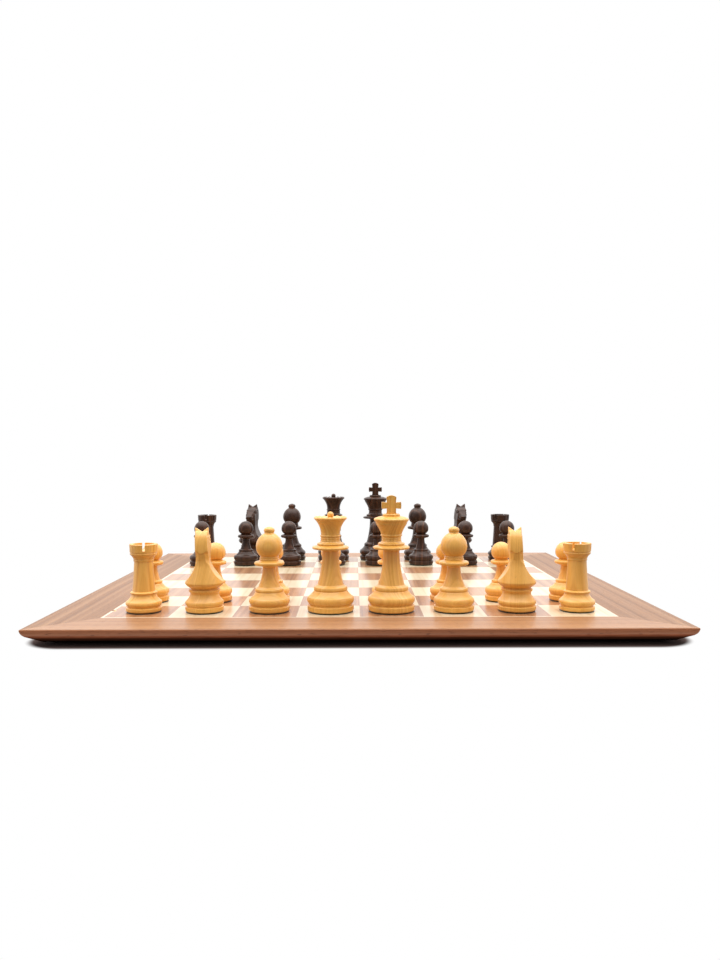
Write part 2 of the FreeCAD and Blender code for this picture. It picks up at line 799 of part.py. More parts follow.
os.makedirs("parts", exist_ok=True)
for thing in SUBPARTS:
    thing.Shape.exportStep(os.path.join("parts", f"{thing.Label}.step"))
print(f"{len(SUBPARTS)} sub-parts written")
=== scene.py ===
import math

import bpy
import numpy as np
import openvdb
from mathutils import Matrix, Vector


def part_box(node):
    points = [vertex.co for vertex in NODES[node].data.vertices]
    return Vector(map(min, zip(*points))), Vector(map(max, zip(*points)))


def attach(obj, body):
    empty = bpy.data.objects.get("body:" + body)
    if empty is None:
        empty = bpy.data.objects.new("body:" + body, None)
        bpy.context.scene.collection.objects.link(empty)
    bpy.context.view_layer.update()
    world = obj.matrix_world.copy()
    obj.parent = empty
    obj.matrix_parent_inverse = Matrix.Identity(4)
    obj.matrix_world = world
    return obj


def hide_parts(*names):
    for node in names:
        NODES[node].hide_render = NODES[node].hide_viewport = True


# Tournament chess set on its board. The frame holds the board and the turned pieces; this script adds the
# carved heads of the knights, the woods, felts and lacquers, the studio and the camera. Lengths are in metres
# except in the carving of the knight's head, which is in millimetres.

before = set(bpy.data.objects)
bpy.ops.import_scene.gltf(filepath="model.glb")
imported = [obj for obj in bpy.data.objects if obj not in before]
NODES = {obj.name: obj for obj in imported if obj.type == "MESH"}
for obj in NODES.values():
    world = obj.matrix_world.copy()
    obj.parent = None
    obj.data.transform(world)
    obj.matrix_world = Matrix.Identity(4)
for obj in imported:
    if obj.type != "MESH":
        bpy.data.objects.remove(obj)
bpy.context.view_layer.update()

MM = 0.001
SIDES = ("white", "black")
FIELD_LOW, FIELD_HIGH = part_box("light_squares")
SQUARE = (FIELD_HIGH.x - FIELD_LOW.x) / 8
# heights of the board's top, of the felt under a piece, and of the upper border of the painted shade on the
# frame's bevel
TOP = FIELD_HIGH.z
FELT = 1 * MM
PAINTED_BEVEL_SHADE_EDGE = TOP - 4.3 * MM


# ---------------------------------------------------------------- writing materials
class Paint:
    """The node tree of one material, written as short calls that return sockets."""

    def __init__(self, name):
        self.material = bpy.data.materials.new(name)
        self.material.use_nodes = True
        self.tree = self.material.node_tree
        self.shader = self.tree.nodes["Principled BSDF"]

    def feed(self, socket, value):
        """Link a socket into an input, or set the input to a plain value."""
        if isinstance(value, bpy.types.NodeSocket):
            self.tree.links.new(value, socket)
        else:
            socket.default_value = value

    def node(self, kind, inputs, **settings):
        """Add a node with these inputs and settings."""
        made = self.tree.nodes.new(kind)
        for key, value in settings.items():
            setattr(made, key, value)
        for key, value in inputs.items():
            self.feed(made.inputs[key], value)
        return made

    def surface(self, **values):
        """Feed the shader's inputs, named with underscores for blanks, and return the material."""
        for key, value in values.items():
            self.feed(self.shader.inputs[key.replace("_", " ")], value)
        return self.material

    def math(self, operation, a, b=0.0, c=0.0):
        return self.node("ShaderNodeMath", {0: a, 1: b, 2: c}, operation=operation).outputs[0]

    def add(self, a, b):
        return self.math("ADD", a, b)

    def times(self, a, b):
        return self.math("MULTIPLY", a, b)

    def vector(self, operation, a, b=(0.0, 0.0, 0.0)):
        return self.node("ShaderNodeVectorMath", {0: a, 1: b}, operation=operation).outputs[0]

    def dot(self, a, b):
        return self.node("ShaderNodeVectorMath", {0: a, 1: b}, operation="DOT_PRODUCT").outputs["Value"]

    def length(self, vector):
        return self.node("ShaderNodeVectorMath", {0: vector}, operation="LENGTH").outputs["Value"]

    def scale(self, vector, factor):
        return self.node("ShaderNodeVectorMath", {0: vector, "Scale": factor}, operation="SCALE").outputs[0]

    def place(self):
        """The point's place in the row frame at rest."""
        return self.node("ShaderNodeTexCoord", {}).outputs["Object"]

    def split(self, vector):
        return self.node("ShaderNodeSeparateXYZ", {0: vector}).outputs

    def join(self, x, y, z):
        return self.node("ShaderNodeCombineXYZ", {0: x, 1: y, 2: z}).outputs[0]

    def noise(self, vector, scale=1.0, detail=2.0, roughness=0.5, distortion=0.0):
        inputs = {"Vector": vector, "Scale": scale, "Detail": detail, "Roughness": roughness,
                  "Distortion": distortion}
        return self.node("ShaderNodeTexNoise", inputs).outputs["Fac"]

    def line_noise(self, value, scale, detail=2.0, roughness=0.5):
        """Noise along one number."""
        inputs = {"W": value, "Scale": scale, "Detail": detail, "Roughness": roughness}
        return self.node("ShaderNodeTexNoise", inputs, noise_dimensions="1D").outputs["Fac"]

    def chance(self, vector):
        """A random number and a random colour that stay the same wherever the vector is the same."""
        made = self.node("ShaderNodeTexWhiteNoise", {"Vector": vector})
        return made.outputs["Value"], made.outputs["Color"]

    def span(self, value, low, high, to_low=0.0, to_high=1.0, course="LINEAR"):
        """A clamped rise from one value to another, straight unless another course is named."""
        inputs = {"Value": value, "From Min": low, "From Max": high, "To Min": to_low, "To Max": to_high}
        return self.node("ShaderNodeMapRange", inputs, interpolation_type=course).outputs["Result"]

    def step(self, value, low, high):
        """A smooth step from 0 to 1."""
        return self.span(value, low, high, course="SMOOTHSTEP")

    def ramp(self, value, stops):
        """A colour that goes through the stops, each a position and a colour, as a value rises."""
        made = self.node("ShaderNodeValToRGB", {0: value})
        elements = made.color_ramp.elements
        while len(elements) < len(stops):
            elements.new(1.0)
        for element, (position, colour) in zip(elements, stops):
            element.position = position
            element.color = (*colour, 1.0)
        return made.outputs["Color"]

    def mix(self, share, a, b, blend="MIX"):
        a, b = (value if isinstance(value, bpy.types.NodeSocket) else (*value, 1.0) for value in (a, b))
        made = self.node("ShaderNodeMix", {0: share, 6: a, 7: b}, data_type="RGBA", blend_type=blend)
        return made.outputs[2]

    def shade(self, colour, level):
        """A colour made lighter or darker by a number."""
        return self.mix(1.0, colour, self.join(level, level, level), "MULTIPLY")

    def bump(self, height, distance):
        """Normals of a surface that rises by up to a distance where the height is 1."""
        inputs = {"Height": height, "Distance": distance, "Strength": 1.0}
        return self.node("ShaderNodeBump", inputs).outputs["Normal"]

    def edge(self, radius):
        """How much a point lies on an edge, from 0 to 1."""
        soft = self.node("ShaderNodeBevel", {"Radius": radius}, samples=4).outputs["Normal"]
        plain = self.node("ShaderNodeNewGeometry", {}).outputs["Normal"]
        return self.step(self.dot(soft, plain), 0.995, 0.86)


# ---------------------------------------------------------------- woods
# A palette is a list of stops, each a position from 0 to 1 and a colour.
WALNUT = (
    (0.18, (0.240, 0.100, 0.041)),
    (0.42, (0.355, 0.165, 0.070)),
    (0.60, (0.435, 0.215, 0.098)),
    (0.86, (0.545, 0.295, 0.148)),
)
WALNUT_PORES = (0.110, 0.045, 0.020)
WALNUT_RUBBED = (0.62, 0.36, 0.19)
# painted light: what the colour of a rail's top is multiplied by on its face, so that the face shows lighter
# and redder than the top
WALNUT_FACE_PAINTED_LIGHT = (1.60, 1.18, 1.18)
WALNUT_RED = (0.37, 0.15, 0.055)
# painted shade on the bevel under the rails: near black at its underside, lighter up to the knee over this
# depth
PAINTED_BEVEL_SHADE_DEPTH = 6.5 * MM
PAINTED_BEVEL_SHADE = (
    (0.0, (0.0020, 0.0014, 0.0012)),
    (0.45, (0.070, 0.0200, 0.0095)),
    (0.80, (0.420, 0.1250, 0.0580)),
    (1.0, (0.580, 0.205, 0.110)),
)
MAPLE = ((0.25, (0.550, 0.405, 0.245)), (0.5, (0.645, 0.515, 0.345)), (0.8, (0.710, 0.590, 0.425)))
MAPLE_LINE = ((0.25, (0.600, 0.460, 0.300)), (0.8, (0.740, 0.630, 0.480)))
JOINT = (0.14, 0.065, 0.03)
BOXWOOD = (
    (0.20, (0.700, 0.315, 0.047)),
    (0.42, (0.795, 0.393, 0.066)),
    (0.62, (0.850, 0.446, 0.085)),
    (0.86, (0.900, 0.517, 0.122)),
)
BOXWOOD_FLECKS = (0.46, 0.20, 0.050)
BOXWOOD_RUBBED = (0.95, 0.66, 0.26)
DARK_WOOD = (
    (0.25, (0.022, 0.0092, 0.0054)),
    (0.50, (0.046, 0.0188, 0.0103)),
    (0.66, (0.080, 0.0330, 0.0178)),
    (0.88, (0.135, 0.056, 0.0300)),
)
# lighter edge colour of the dark pieces: partly rubbed wear, partly painted highlight
DARK_WOOD_RUBBED_AND_HIGHLIGHT = (0.170, 0.090, 0.056)
FELT_GREEN = (0.009, 0.022, 0.013)
RUBBER = ((0.3, (0.008, 0.008, 0.008)), (0.7, (0.020, 0.019, 0.018)))
# sets the chances of the pieces apart from those of the squares that they stand on
BLANK_SEED = (17.0, 5.0, 3.0)
PRESSED_CHIPS = ((0.3, (0.30, 0.19, 0.095)), (0.7, (0.52, 0.37, 0.21)))


def cell_of(paint, point):
    """The square that a point stands on, as whole numbers, and its place from that square's middle."""
    scaled = paint.scale(point, 1 / SQUARE)
    cell = paint.vector("MULTIPLY", paint.vector("FLOOR", scaled), (1.0, 1.0, 0.0))
    local = paint.vector("SUBTRACT", paint.vector("SUBTRACT", scaled, cell), (0.5, 0.5, 0.0))
    return cell, paint.scale(local, SQUARE)


def veneer_figure(paint, across, along, ring, wander):
    """Streaks of sliced wood that run along one way, each from 0 to 1.

    They are broad bands, fine fibre, short pores and the slow drift that bends the bands.
    """
    low = paint.noise(paint.join(paint.times(across, 14), paint.times(along, 3.2), 0.0), detail=2)
    fine = paint.noise(paint.join(paint.times(across, 60), paint.times(along, 9), 4.0), detail=3)
    course = paint.add(across, paint.add(paint.times(low, wander), paint.times(fine, wander * 0.16)))
    bands = paint.line_noise(course, 1 / ring, detail=3, roughness=0.62)
    fibre = paint.noise(paint.join(paint.times(course, 1500), paint.times(along, 34), 0.0), detail=3,
                        roughness=0.6)
    pores = paint.noise(paint.join(paint.times(across, 3100), paint.times(along, 130), 9.0), detail=1)
    return bands, fibre, pores, low


def lacquer(paint, gloss, weight=0.6):
    """The satin coat over the board."""
    paint.surface(Coat_Weight=weight, Coat_Roughness=gloss, Coat_IOR=1.45, Specular_IOR_Level=0.2)


def walnut_colour(paint, bands, fibre, pores, low):
    """Brown bands, lighter and darker with the fibre, and dark where the pores are."""
    colour = paint.ramp(bands, WALNUT)
    colour = paint.shade(colour, paint.span(low, 0.25, 0.75, 0.92, 1.08))
    colour = paint.shade(colour, paint.span(fibre, 0.25, 0.75, 0.84, 1.12))
    return paint.mix(paint.times(paint.step(pores, 0.60, 0.70), 0.55), colour, WALNUT_PORES)


def rail_walnut(name, along_x, level, coat):
    """Solid walnut of a rail with its grain along its length, at a level of brightness that is painted shade
    and with a weight of coat; its face is painted lighter than its top.
    """
    paint = Paint(name)
    x, y, z = paint.split(paint.place())
    along, side = (x, y) if along_x else (y, x)
    # the rail's top and its face show one run of grain: going down the face is going further across
    sheet = 3.7 if along_x else 9.1
    across = paint.add(paint.add(side, z), paint.times(paint.math("SIGN", side), sheet))
    bands, fibre, pores, low = veneer_figure(paint, across, along, 6.2 * MM, 11 * MM)
    # painted shade: the whole rail is darkened by its level
    colour = paint.shade(walnut_colour(paint, bands, fibre, pores, low), level)
    colour = paint.mix(paint.times(paint.edge(0.6 * MM), 0.28), colour, WALNUT_RUBBED)
    upward = paint.split(paint.node("ShaderNodeNewGeometry", {}).outputs["Normal"])[2]
    # painted light: faces that do not look up get a lighter, redder copy of the top's colour
    face_painted_light = paint.mix(1.0, colour, WALNUT_FACE_PAINTED_LIGHT, "MULTIPLY")
    colour = paint.mix(paint.step(upward, 0.75, 0.25), colour, face_painted_light)
    lacquer(paint, 0.24, coat)
    height = paint.add(paint.times(fibre, 0.6), paint.times(paint.step(pores, 0.60, 0.72), -0.8))
    return paint.surface(Base_Color=colour, Roughness=paint.span(fibre, 0.2, 0.8, 0.42, 0.6),
                         Normal=paint.bump(height, 0.06 * MM))


def walnut_bevel_painted_shade(name):
    """The bevel under the rails: walnut without lacquer whose colour is painted shade, near black at the
    underside and lighter toward the knee.
    """
    paint = Paint(name)
    x, y, z = paint.split(paint.place())
    streaks = paint.noise(paint.join(paint.times(x, 90), paint.times(y, 90), paint.times(z, 900)), detail=3)
    # painted shade: darker toward the underside
    colour = paint.ramp(paint.span(z, PAINTED_BEVEL_SHADE_EDGE - PAINTED_BEVEL_SHADE_DEPTH, PAINTED_BEVEL_SHADE_EDGE), PAINTED_BEVEL_SHADE)
    colour = paint.shade(colour, paint.span(streaks, 0.25, 0.75, 0.7, 1.3))
    return paint.surface(Base_Color=colour, Roughness=paint.span(streaks, 0.2, 0.8, 0.6, 0.8),
                         Specular_IOR_Level=0.0, Normal=paint.bump(streaks, 0.05 * MM))


def square_wood(name, light):
    """Veneer of the squares: grain toward the other player, each square from another part of the sheet."""
    paint = Paint(name)
    point = paint.place()
    cell, local = cell_of(paint, point)
    value, tint = paint.chance(cell)
    shift_x, shift_y, redness = paint.split(tint)
    x, y, z = paint.split(point)
    across = paint.add(x, paint.times(shift_x, 8))
    along = paint.add(y, paint.times(shift_y, 8))
    ring, wander = (8.5 * MM, 6 * MM) if light else (5.8 * MM, 12 * MM)
    bands, fibre, pores, low = veneer_figure(paint, across, along, ring, wander)
    if light:
        colour = paint.ramp(bands, MAPLE)
        colour = paint.shade(colour, paint.span(fibre, 0.25, 0.75, 0.95, 1.04))
        colour = paint.shade(colour, paint.span(value, 0, 1, 0.93, 1.05))
    else:
        colour = walnut_colour(paint, bands, fibre, pores, low)
        colour = paint.shade(colour, paint.span(value, 0, 1, 0.84, 1.12))
        colour = paint.mix(paint.span(redness, 0, 1, 0.0, 0.22), colour, WALNUT_RED)
    # the joint between neighbouring veneers is a hairline
    off_x, off_y, off_z = paint.split(paint.vector("ABSOLUTE", local))
    joint = paint.step(paint.math("MAXIMUM", off_x, off_y), SQUARE / 2 - 0.22 * MM, SQUARE / 2 - 0.05 * MM)
    colour = paint.mix(paint.times(joint, 0.5), colour, JOINT)
    lacquer(paint, 0.17)
    height = paint.add(paint.times(fibre, 0.5), paint.times(joint, -1.0))
    return paint.surface(Base_Color=colour, Roughness=paint.span(fibre, 0.2, 0.8, 0.4, 0.55),
                         Normal=paint.bump(height, 0.04 * MM))


def line_wood(name):
    """The pale line: maple with its grain along the nearest edge of the field."""
    paint = Paint(name)
    x, y, z = paint.split(paint.place())
    sideways = paint.math("GREATER_THAN", paint.math("ABSOLUTE", x), paint.math("ABSOLUTE", y))
    lengthways = paint.math("SUBTRACT", 1.0, sideways)
    along = paint.add(paint.times(sideways, y), paint.times(lengthways, x))
    across = paint.add(paint.times(sideways, x), paint.times(lengthways, y))
    bands, fibre, pores, low = veneer_figure(paint, across, along, 1.1 * MM, 2 * MM)
    colour = paint.ramp(bands, MAPLE_LINE)
    colour = paint.shade(colour, paint.span(fibre, 0.25, 0.75, 0.93, 1.04))
    lacquer(paint, 0.18)
    return paint.surface(Base_Color=colour, Roughness=paint.span(low, 0.2, 0.8, 0.4, 0.55),
                         Normal=paint.bump(fibre, 0.04 * MM))


def turned_figure(paint, ring, wander):
    """The figure of a blank turned on end, another one for each piece.

    It has rings round a pith outside the piece, upright fibre, broad clouds and a number for the whole piece.
    """
    cell, local = cell_of(paint, paint.place())
    value, tint = paint.chance(paint.vector("ADD", cell, BLANK_SEED))
    seed_x, seed_y, seed_z = paint.split(tint)
    x, y, z = paint.split(local)
    angle = paint.times(seed_x, 2 * math.pi)
    reach = paint.span(seed_y, 0, 1, 25 * MM, 60 * MM)
    lean = paint.span(seed_z, 0, 1, -0.07, 0.07)
    height = paint.add(paint.times(z, 6), paint.times(value, 40))
    bend = paint.noise(paint.join(paint.times(x, 30), paint.times(y, 30), height), detail=2)
    pith_x = paint.add(paint.times(paint.math("COSINE", angle), reach), paint.times(z, lean))
    pith_y = paint.add(paint.times(paint.math("SINE", angle), reach), paint.times(bend, wander))
    from_pith = paint.join(paint.math("SUBTRACT", x, pith_x), paint.math("SUBTRACT", y, pith_y), 0.0)
    away = paint.add(paint.length(from_pith), paint.times(bend, wander / 2))
    away = paint.add(away, paint.times(value, 3.0))
    rings = paint.line_noise(away, 1 / ring, detail=3, roughness=0.6)
    fibre = paint.noise(paint.join(paint.times(x, 1300), paint.times(y, 1300), paint.times(z, 36)), detail=3,
                        roughness=0.6)
    broad = paint.noise(paint.join(paint.times(x, 60), paint.times(y, 60), height), detail=2)
    return rings, fibre, broad, value


def boxwood(name):
    """Golden boxwood under a thin satin finish."""
    paint = Paint(name)
    rings, fibre, broad, value = turned_figure(paint, 1.9 * MM, 1.2 * MM)
    colour = paint.ramp(rings, BOXWOOD)
    colour = paint.shade(colour, paint.span(fibre, 0.25, 0.75, 0.93, 1.05))
    colour = paint.shade(colour, paint.span(broad, 0.25, 0.75, 0.93, 1.05))
    colour = paint.shade(colour, paint.span(value, 0, 1, 0.95, 1.03))
    flecks = paint.noise(paint.vector("MULTIPLY", paint.place(), (900.0, 900.0, 90.0)), detail=1)
    colour = paint.mix(paint.times(paint.step(flecks, 0.66, 0.78), 0.3), colour, BOXWOOD_FLECKS)
    colour = paint.mix(paint.times(paint.edge(0.5 * MM), 0.25), colour, BOXWOOD_RUBBED)
    return paint.surface(Base_Color=colour, Roughness=paint.span(fibre, 0.2, 0.8, 0.36, 0.5),
                         Specular_IOR_Level=0.5, Normal=paint.bump(fibre, 0.07 * MM), Coat_Weight=0.4,
                         Coat_Roughness=0.3)


def dark_wood(name):
    """Wood stained dark brown: the grain still shows, and the edges are lighter, partly rubbed and partly a
    painted highlight.
    """
    paint = Paint(name)
    rings, fibre, broad, value = turned_figure(paint, 2.4 * MM, 5 * MM)
    colour = paint.ramp(rings, DARK_WOOD)
    colour = paint.shade(colour, paint.span(fibre, 0.25, 0.75, 0.66, 1.32))
    colour = paint.shade(colour, paint.span(broad, 0.25, 0.75, 0.8, 1.2))
    # lighter edges: partly rubbed wear, partly a painted highlight along the collars
    rubbed_and_highlight = paint.times(paint.edge(0.6 * MM), paint.span(broad, 0.3, 0.7, 0.25, 0.7))
    colour = paint.mix(rubbed_and_highlight, colour, DARK_WOOD_RUBBED_AND_HIGHLIGHT)
    return paint.surface(Base_Color=colour, Roughness=paint.span(fibre, 0.2, 0.8, 0.28, 0.44),
                         Specular_IOR_Level=0.28, Normal=paint.bump(fibre, 0.09 * MM), Coat_Weight=0.06,
                         Coat_Roughness=0.2)


def felt(name, colour):
    """Pressed wool: matted fibres, no grain."""
    paint = Paint(name)
    place = paint.place()
    mat = paint.noise(place, 900, detail=4, roughness=0.7, distortion=1.2)
    clumps = paint.noise(place, 160, detail=2)
    shade = paint.shade(colour, paint.span(mat, 0.25, 0.75, 0.55, 1.6))
    shade = paint.shade(shade, paint.span(clumps, 0.3, 0.7, 0.85, 1.15))
    return paint.surface(Base_Color=shade, Roughness=paint.span(mat, 0.2, 0.8, 0.86, 1.0), Sheen_Weight=0.5,
                         Sheen_Roughness=0.5, Normal=paint.bump(mat, 0.2 * MM), Specular_IOR_Level=0.2)


def rubber(name):
    """Moulded rubber: dull, a little mottled."""
    paint = Paint(name)
    mottle = paint.noise(paint.place(), 420, detail=3)
    colour = paint.ramp(mottle, RUBBER)
    return paint.surface(Base_Color=colour, Roughness=paint.span(mottle, 0.2, 0.8, 0.62, 0.8),
                         Specular_IOR_Level=0.3, Normal=paint.bump(mottle, 0.08 * MM))


def panel_wood(name):
    """The core's pressed chips, seen only if the board comes apart."""
    paint = Paint(name)
    stretched = paint.vector("MULTIPLY", paint.place(), (260.0, 420.0, 700.0))
    chips = paint.noise(stretched, detail=3, distortion=0.6)
    colour = paint.ramp(chips, PRESSED_CHIPS)
    return paint.surface(Base_Color=colour, Roughness=paint.span(chips, 0.2, 0.8, 0.7, 0.9),
                         Normal=paint.bump(chips, 0.2 * MM))


WOODS = {"white": boxwood("boxwood"), "black": dark_wood("dark_wood")}
FELT_UNDER = felt("felt_green", FELT_GREEN)
BEVEL_WITH_PAINTED_SHADE = walnut_bevel_painted_shade("walnut_bevel_painted_shade")
# painted shade: the rails along y, at the sides, get a darker level of brightness than those along x
RAIL_ALONG_X = rail_walnut("walnut_rail_x", True, 0.88, 0.3)
RAIL_ALONG_Y = rail_walnut("walnut_rail_y", False, 0.66, 0.16)
BOARD_MATERIALS = {
    "rail_front": (RAIL_ALONG_X, BEVEL_WITH_PAINTED_SHADE),
    "rail_back": (RAIL_ALONG_X, BEVEL_WITH_PAINTED_SHADE),
    "rail_left": (RAIL_ALONG_Y, BEVEL_WITH_PAINTED_SHADE),
    "rail_right": (RAIL_ALONG_Y, BEVEL_WITH_PAINTED_SHADE),
    "dark_squares": (square_wood("walnut_squares", False),),
    "light_squares": (square_wood("maple_squares", True),),
    "line_inlay": (line_wood("maple_line"),),
    "corner_plug": (WOODS["white"],),
    "underside_veneer": (square_wood("walnut_backing", False),),
    "board_core": (panel_wood("core_panel"),),
    "foot_pads": (rubber("rubber_black"),),
}


def dress(name, materials, second_below=None):
    """Give a node its materials; the second goes on the faces that lie wholly below a height."""
    mesh = NODES[name].data
    mesh.materials.clear()
    for material in materials:
        mesh.materials.append(material)
    if second_below is None:
        return
    corners = np.empty(len(mesh.vertices) * 3)
    mesh.vertices.foreach_get("co", corners)
    starts = np.empty(len(mesh.loops), int)
    mesh.loops.foreach_get("vertex_index", starts)
    highest = corners[2::3][starts].reshape(-1, 3).max(axis=1)
    mesh.polygons.foreach_set("material_index", (highest < second_below).astype(int))
    mesh.update()


for name, materials in BOARD_MATERIALS.items():
    dress(name, materials, PAINTED_BEVEL_SHADE_EDGE if len(materials) > 1 else None)
for name in NODES:
    side = name.split("_")[0]
    if side in SIDES:
        dress(name, (WOODS[side], FELT_UNDER), TOP + FELT + 0.01 * MM)

# ---------------------------------------------------------------- the carved heads of the knights
# Each knight's turn about the upright axis, in degrees, from White's way of facing.
KNIGHT_TURN = {"white_knight_b": 3, "white_knight_g": -6, "black_knight_b": 170, "black_knight_g": 188}
# From here to the end of the carving, lengths are in millimetres from the foot of the piece: x is across the
# head, y is forward and z is up.
SHOULDER = 19.3
# sideways lean for each millimetre above a height
LEAN = 0.045
LEAN_FROM = 27.0
# the room that the grid takes in along x, y and z, and the grid's step
CARVED_ROOM = ((-16.8, 16.8), (-16.8, 17.6), (18.6, 69.6))
FINE_STEP, QUICK_STEP = 0.3, 0.45
# side outline of the head without its mane, as (y, z)
HEAD_OUTLINE = [
    # bell and breast
    (-17.0, 18.0), (17.0, 18.0), (17.0, 25.2), (12.6, 27.6), (9.2, 32.0), (6.9, 37.0), (5.6, 41.0),
    # jaw and muzzle
    (5.9, 43.8), (7.4, 46.0), (10.2, 47.5), (12.6, 48.3), (14.6, 49.2), (16.0, 50.4), (16.2, 52.0),
    # bridge of the nose, brow and ear
    (14.8, 53.9), (11.6, 56.6), (8.8, 59.2), (6.9, 61.4), (4.6, 62.9), (2.6, 64.2), (1.6, 66.4), (0.4, 68.6),
    # back of the neck, down to the bell
    (-1.2, 67.6), (-2.6, 65.6), (-4.8, 64.4), (-7.6, 61.6), (-9.6, 57.2), (-10.7, 52.0), (-11.0, 47.4),
    (-10.5, 44.0), (-10.6, 42.0), (-11.8, 40.4), (-14.0, 39.4), (-17.0, 39.0),
]
EYE = (6.3, 58.2)
BROW_LINE = [(3.6, 58.6), (5.4, 60.0), (7.6, 59.9), (8.9, 58.8)]
MOUTH_LINE = [(17.0, 50.4), (12.6, 50.6), (9.6, 51.4)]
NOSTRIL = (14.4, 52.4)
NOSE_CREASE = [(12.6, 54.0), (9.8, 55.4), (8.4, 56.4)]
CHEEK_LINE = [(7.2, 47.2), (3.2, 48.0), (0.4, 51.0), (0.6, 55.0), (3.0, 58.0)]
CHEEK_STEPS = 5
MANE_LINE = [(0.2, 62.6), (-3.4, 59.0), (-5.8, 53.4), (-6.4, 47.4), (-6.2, 42.4)]


def smooth_step(low, high, value):
    """A smooth step from 0 to 1; it falls where low is the greater of the two."""
    share = np.clip((value - low) / (high - low), 0, 1)
    return share * share * (3 - 2 * share)


def smooth_max(a, b, radius):
    """The greater of two values, with the crease between them rounded."""
    gap = np.maximum(radius - np.abs(a - b), 0)
    return np.maximum(a, b) + gap * gap / (4 * radius)


def rounded(points, steps=8):
    """Points along a closed Catmull-Rom curve through the given ones."""
    count = len(points)
    curve = []
    for index in range(count):
        nearby = [np.array(points[(index + shift) % count], float) for shift in (-1, 0, 1, 2)]
        before, start, end, after = nearby
        lead = 0.5 * (end - before)
        trail = 0.5 * (after - start)
        for step in range(steps):
            s = step / steps
            curve.append((2 * s**3 - 3 * s**2 + 1) * start + (s**3 - 2 * s**2 + s) * lead
                         + (3 * s**2 - 2 * s**3) * end + (s**3 - s**2) * trail)
    return np.array(curve)


# stand-ins for no length at all and for a length past every other
TINY, FAR = 1e-12, 1e9


def distance_to_line(y, z, line, closed=False):
    """Distance in the side plane to a run of straight stretches, below zero inside a closed one."""
    best = np.full(y.shape, FAR)
    inside = np.zeros(y.shape, bool)
    pairs = zip(line, np.roll(line, -1, axis=0)) if closed else zip(line[:-1], line[1:])
    for (ay, az), (by, bz) in pairs:
        ey, ez = by - ay, bz - az
        share = np.clip(((y - ay) * ey + (z - az) * ez) / (ey * ey + ez * ez + TINY), 0, 1)
        best = np.minimum(best, np.hypot(y - ay - share * ey, z - az - share * ez))
        if closed and az != bz:
            inside ^= ((az > z) != (bz > z)) & (y < ey * (z - az) / (bz - az) + ay)
    return np.where(inside, -best, best)


def groove(y, z, points, width, depth):
    """The depth of a round-bottomed groove along a line."""
    line = np.array(points, float)
    return depth * np.exp(-(distance_to_line(y, z, line) / width) ** 2)


def dome(y, z, centre, radii, height):
    """The height of an oval dome."""
    share = np.clip(1 - ((y - centre[0]) / radii[0]) ** 2 - ((z - centre[1]) / radii[1]) ** 2, 0, 1)
    return height * np.sqrt(share)


def half_width(y, z):
    """Half the head's thickness over its side plane, with the carving of one side."""
    # cranium and neck, the muzzle that narrows, and the flare down to the bell
    wide = 5.2 - 0.35 * smooth_step(61.2, 62.0, z)
    wide = wide + 0.5 * smooth_step(-6.0, -2.0, y) * smooth_step(44.0, 50.0, z)
    wide = wide - 1.4 * smooth_step(7.5, 12.0, y - 0.35 * (z - 52)) * smooth_step(43.0, 46.0, z)
    wide = wide + 10.3 * np.clip((44.0 - z) / 19.5, 0, 2) ** 2.1
    # eye in its socket, under its brow
    eye_y, eye_z = EYE
    wide = wide - 0.75 * smooth_step(2.5, 1.6, np.hypot((y - eye_y) * 0.75, z - eye_z))
    wide = wide + dome(y, z, (eye_y, eye_z - 0.1), (1.35, 1.15), 0.95)
    wide = wide + groove(y, z, BROW_LINE, 0.45, 0.3)
    # mouth, nostril and the creases round the cheek and along the neck
    wide = wide - groove(y, z, MOUTH_LINE, 0.4, 1.4)
    wide = wide - dome(y, z, NOSTRIL, (0.9, 0.7), 0.9)
    wide = wide - groove(y, z, NOSE_CREASE, 0.5, 0.35)
    # the curve closes on itself; its last stretch back to its first point is left off
    cheek = rounded(CHEEK_LINE, CHEEK_STEPS)[:(len(CHEEK_LINE) - 1) * CHEEK_STEPS]
    wide = wide - groove(y, z, cheek, 0.4, 0.45)
    wide = wide - groove(y, z, MANE_LINE, 0.4, 0.4)
    return wide


